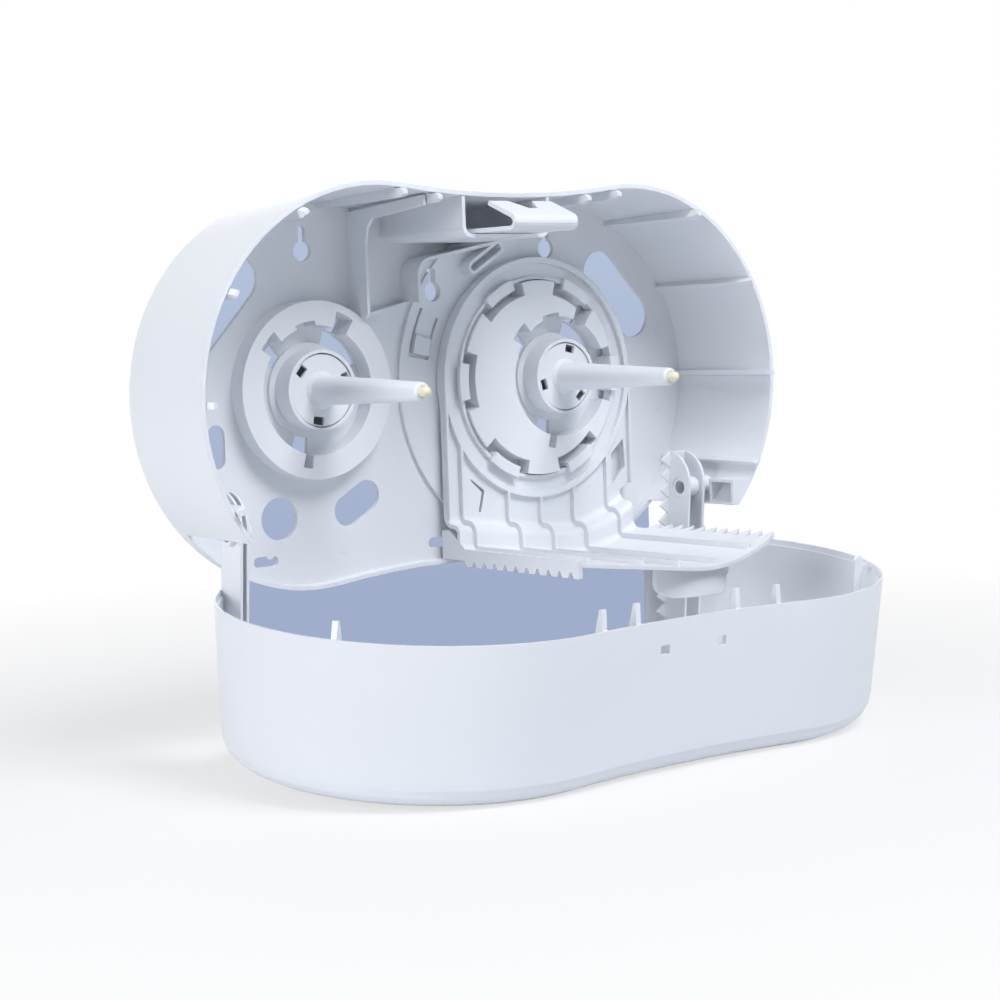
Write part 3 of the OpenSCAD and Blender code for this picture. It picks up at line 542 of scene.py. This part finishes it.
class DISPENSER_OT_stage(bpy.types.Operator):
    """Adds the camera, the lights, the floor and the glowing painted-shade sheet behind the housing
    """

    bl_idname = "dispenser.stage"
    bl_label = "Stage"

    def execute(self, context):
        stage = context.scene.dispenser_stage
        self.add_camera(context, stage)
        self.add_lights(context)
        self.add_floor(context, stage)
        self.add_shade_sheet(context, stage)
        return {"FINISHED"}

    def add_camera(self, context, stage):
        yaw, pitch, roll = stage.yaw, stage.pitch, stage.roll
        ahead = Vector(
            (math.sin(yaw) * math.cos(pitch), math.cos(yaw) * math.cos(pitch), math.sin(pitch))
        )
        right = Vector((math.cos(yaw), -math.sin(yaw), 0))
        up = right.cross(ahead)
        tilted = math.cos(roll) * right + math.sin(roll) * up
        upright = math.cos(roll) * up - math.sin(roll) * right
        data = bpy.data.cameras.new("camera")
        data.lens = stage.focal
        data.sensor_width = 36  # millimetres
        camera = bpy.data.objects.new("camera", data)
        turn = Matrix((tilted, upright, -ahead)).transposed()
        camera.matrix_world = Matrix.Translation(stage.camera_place) @ turn.to_4x4()
        context.scene.collection.objects.link(camera)
        context.scene.camera = camera

    def add_lights(self, context):
        # Name, place, aim, size, power and colour of each soft lamp
        lamps = [
            ("key", (0.10, -1.15, 1.38), (0, -0.06, -0.03), 1.0, 28, (0.98, 0.985, 1.0)),
            ("left", (-1.75, -0.15, 0.37), (0, -0.06, -0.03), 1.0, 17, (0.98, 0.985, 1.0)),
            ("right", (1.01, -1.44, 0.37), (0, -0.06, -0.03), 1.0, 2.5, (0.60, 0.80, 1.0)),
            ("back", (0.7, 1.7, 0.15), (0, 0, 0), 1.0, 12, (0.98, 0.985, 1.0)),
        ]
        for name, place, aim, size, power, colour in lamps:
            data = bpy.data.lights.new(name, "AREA")
            data.shape = "DISK"
            data.size = size
            data.energy = power
            data.color = colour
            lamp = bpy.data.objects.new(name, data)
            lamp.location = place
            lamp.rotation_euler = (Vector(aim) - Vector(place)).to_track_quat("-Z", "Y").to_euler()
            context.scene.collection.objects.link(lamp)
        world = bpy.data.worlds.new("studio")
        world.use_nodes = True
        context.scene.world = world
        nodes, links = world.node_tree.nodes, world.node_tree.links
        nodes.clear()
        soft = nodes.new("ShaderNodeBackground")
        soft.inputs[0].default_value = (*WORLD_COLOUR, 1)
        soft.inputs[1].default_value = WORLD_STRENGTH
        white = nodes.new("ShaderNodeBackground")
        white.inputs[0].default_value = (1, 1, 1, 1)
        seen = nodes.new("ShaderNodeLightPath")
        mix = nodes.new("ShaderNodeMixShader")
        out = nodes.new("ShaderNodeOutputWorld")
        plain_ray = nodes.new("ShaderNodeMath")
        any_ray = nodes.new("ShaderNodeMath")
        any_ray.use_clamp = True
        links.new(seen.outputs["Is Camera Ray"], plain_ray.inputs[0])
        links.new(seen.outputs["Is Glossy Ray"], plain_ray.inputs[1])
        links.new(plain_ray.outputs[0], any_ray.inputs[0])
        links.new(seen.outputs["Is Transmission Ray"], any_ray.inputs[1])
        links.new(any_ray.outputs[0], mix.inputs[0])
        links.new(soft.outputs[0], mix.inputs[1])
        links.new(white.outputs[0], mix.inputs[2])
        links.new(mix.outputs[0], out.inputs[0])

    def add_floor(self, context, stage):
        bpy.ops.mesh.primitive_plane_add(size=stage.floor_size)
        floor = context.object
        floor.name = "floor"
        floor.data.transform(Matrix.Translation((0, 0, cad_box[0][2])))
        floor.data.materials.append(floor_finish())

    def add_shade_sheet(self, context, stage):
        """A glowing blue-grey sheet of painted shade that shows only through the housing's openings
        and below it.
        """
        low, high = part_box("rear_housing")
        radius = high.x - lobe_x() - SHADE_SHEET_INSET
        outline = [
            on_lobe(side, radius, start + 180 * step / SHADE_SHEET_STEPS)
            for side, start in ((1, -90), (-1, 90))
            for step in range(SHADE_SHEET_STEPS + 1)
        ]
        edge = [(x * MM, z * MM) for x, z in FOOT_EDGE]
        top = low.z + radius / 2
        skirt = [(edge[0][0], top), *edge, (edge[-1][0], top)]
        sheets = []
        for name, corners, back in (
            ("painted_shade_patch", outline, PATCH_BACK),
            ("painted_shade_foot", skirt, FOOT_BACK),
        ):
            mesh = bpy.data.meshes.new(name)
            mesh.from_pydata([(x, back, z) for x, z in corners], [], [range(len(corners))])
            if mesh.polygons[0].normal.y > 0:
                mesh.flip_normals()
            mesh.materials.append(shade_sheet_finish(stage.painted_shade_high, stage.painted_shade_low))
            sheets.append(bpy.data.objects.new(name, mesh))
            context.scene.collection.objects.link(sheets[-1])


class DISPENSER_OT_shells(bpy.types.Operator):
    """Finishes the rear housing, the front cover and the swing plate"""

    bl_idname = "dispenser.shells"
    bl_label = "Shells"

    def execute(self, context):
        looks = context.scene.dispenser_looks
        for node, body, slot, rough in (
            ("rear_housing", "housing", "housing_white", looks.roughness),
            ("front_cover", "cover", "cover_white", looks.roughness * 0.8),
            ("swing_plate", "tray", "plate_white", looks.roughness),
        ):
            finish = moulded_plastic(
                slot + "_finish", looks.plastic, looks.plastic_shade, rough, SHELL_GRAIN, looks.edge
            )
            piece = finished_copy(node, node + "_finish", finish, looks.blend)
            hand_in(piece, body, slot, node)
        return {"FINISHED"}


class DISPENSER_OT_hubs(bpy.types.Operator):
    """Finishes the collars, the spindle sleeves, the axle pins and the spring latch"""

    bl_idname = "dispenser.hubs"
    bl_label = "Hubs and latch"

    def execute(self, context):
        looks = context.scene.dispenser_looks
        white = (looks.plastic, looks.plastic_shade, looks.roughness, SMALL_GRAIN, looks.edge)
        hub = moulded_plastic("hub_finish", *white)
        cream = moulded_plastic(
            "axle_finish", looks.axle, looks.axle, looks.roughness, SMALL_GRAIN, looks.edge
        )
        latch = moulded_plastic("latch_finish", *white)
        for side in ("left", "right"):
            for node, body, slot, finish in (
                (side + "_hub_collar", "housing", "hub_white", hub),
                (side + "_spindle_sleeve", side + "_spindle", "hub_white", hub),
                (side + "_axle_pin", "housing", "axle_cream", cream),
            ):
                piece = finished_copy(node, node + "_finish", finish, looks.blend)
                hand_in(piece, body, slot, node)
        for node, body in (("latch_base", "housing"), ("latch_tongue", "latch")):
            piece = finished_copy(node, node + "_finish", latch, looks.blend)
            hand_in(piece, body, "latch_white", node)
        hand_in(self.bend(looks, latch), "latch", "latch_white")
        return {"FINISHED"}

    def bend(self, looks, material):
        """The stretch of the latch's bend between its leaf and its tongue."""
        base_low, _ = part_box("latch_base")
        low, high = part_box("latch_tongue")
        outer = looks.latch_radius + looks.latch_thickness
        middle = Vector((0, low.y + outer, base_low.z + outer))
        work = bmesh.new()
        inner = looks.latch_radius + HAIR
        left, right = low.x + HAIR, high.x - HAIR
        section = ((inner, left), (inner, right), (outer - HAIR, right), (outer - HAIR, left))
        first, last = BEND_TURNS
        rings = []
        for step in range(BEND_STEPS + 1):
            angle = math.radians(first + (last - first) * step / BEND_STEPS)
            ahead = Vector((0, -math.cos(angle), math.sin(angle)))
            rings.append(
                [work.verts.new(middle + ahead * reach + Vector((x, 0, 0))) for reach, x in section]
            )
        for near, far in zip(rings, rings[1:]):
            for i in range(len(section)):
                work.faces.new((near[i - 1], near[i], far[i], far[i - 1]))
        work.faces.new(rings[0])
        work.faces.new(rings[-1])
        bmesh.ops.recalc_face_normals(work, faces=work.faces)
        mesh = bpy.data.meshes.new("latch_bend")
        work.to_mesh(mesh)
        work.free()
        mesh.shade_smooth()
        mesh.set_sharp_from_angle(angle=BEND_SHARP)
        mesh.materials.append(material)
        piece = bpy.data.objects.new("latch_bend", mesh)
        bpy.context.scene.collection.objects.link(piece)
        return piece


class DISPENSER_OT_pin_marks(bpy.types.Operator):
    """Adds the round marks that ejector pins leave on the back plate"""

    bl_idname = "dispenser.pin_marks"
    bl_label = "Pin marks"

    def execute(self, context):
        looks = context.scene.dispenser_looks
        finish = bpy.data.materials["housing_white_finish"]
        tree, sizes = pin_mark_tree("pin_marks", finish)
        _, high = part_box("rear_housing")
        radius = (high.x - lobe_x()) * PIN_MARK_SHARE
        points = []
        for side, turns in ((-1, LEFT_MARKS), (1, RIGHT_MARKS)):
            for turn in turns:
                x, z = on_lobe(side, radius, turn)
                points.append((x, high.y - looks.plate, z))
        sizes = {sizes["Radius"]: looks.mark_radius, sizes["Height"]: 2 * looks.mark_height}
        hand_in(grown_from(points, "pin_marks", tree, sizes), "housing", "housing_white")
        return {"FINISHED"}


class DISPENSER_PT_panel(bpy.types.Panel):
    """Lists the steps that dress the dispenser"""

    bl_label = "Dispenser"
    bl_idname = "DISPENSER_PT_panel"
    bl_space_type = "VIEW_3D"
    bl_region_type = "UI"
    bl_category = "Dispenser"

    def draw(self, context):
        for step in STEPS:
            self.layout.operator(step.bl_idname)


STEPS = (
    DISPENSER_OT_stage,
    DISPENSER_OT_shells,
    DISPENSER_OT_hubs,
    DISPENSER_OT_pin_marks,
)
CLASSES = (DispenserLooks, DispenserStage, *STEPS, DISPENSER_PT_panel)


def register():
    for item in CLASSES:
        bpy.utils.register_class(item)
    bpy.types.Scene.dispenser_looks = bpy.props.PointerProperty(type=DispenserLooks)
    bpy.types.Scene.dispenser_stage = bpy.props.PointerProperty(type=DispenserStage)


def unregister():
    del bpy.types.Scene.dispenser_stage
    del bpy.types.Scene.dispenser_looks
    for item in reversed(CLASSES):
        bpy.utils.unregister_class(item)


def main():
    register()
    bpy.context.scene.view_settings.view_transform = "Standard"
    bpy.ops.dispenser.stage()
    bpy.ops.dispenser.shells()
    bpy.ops.dispenser.hubs()
    bpy.ops.dispenser.pin_marks()


if __name__ == "__main__":
    main()
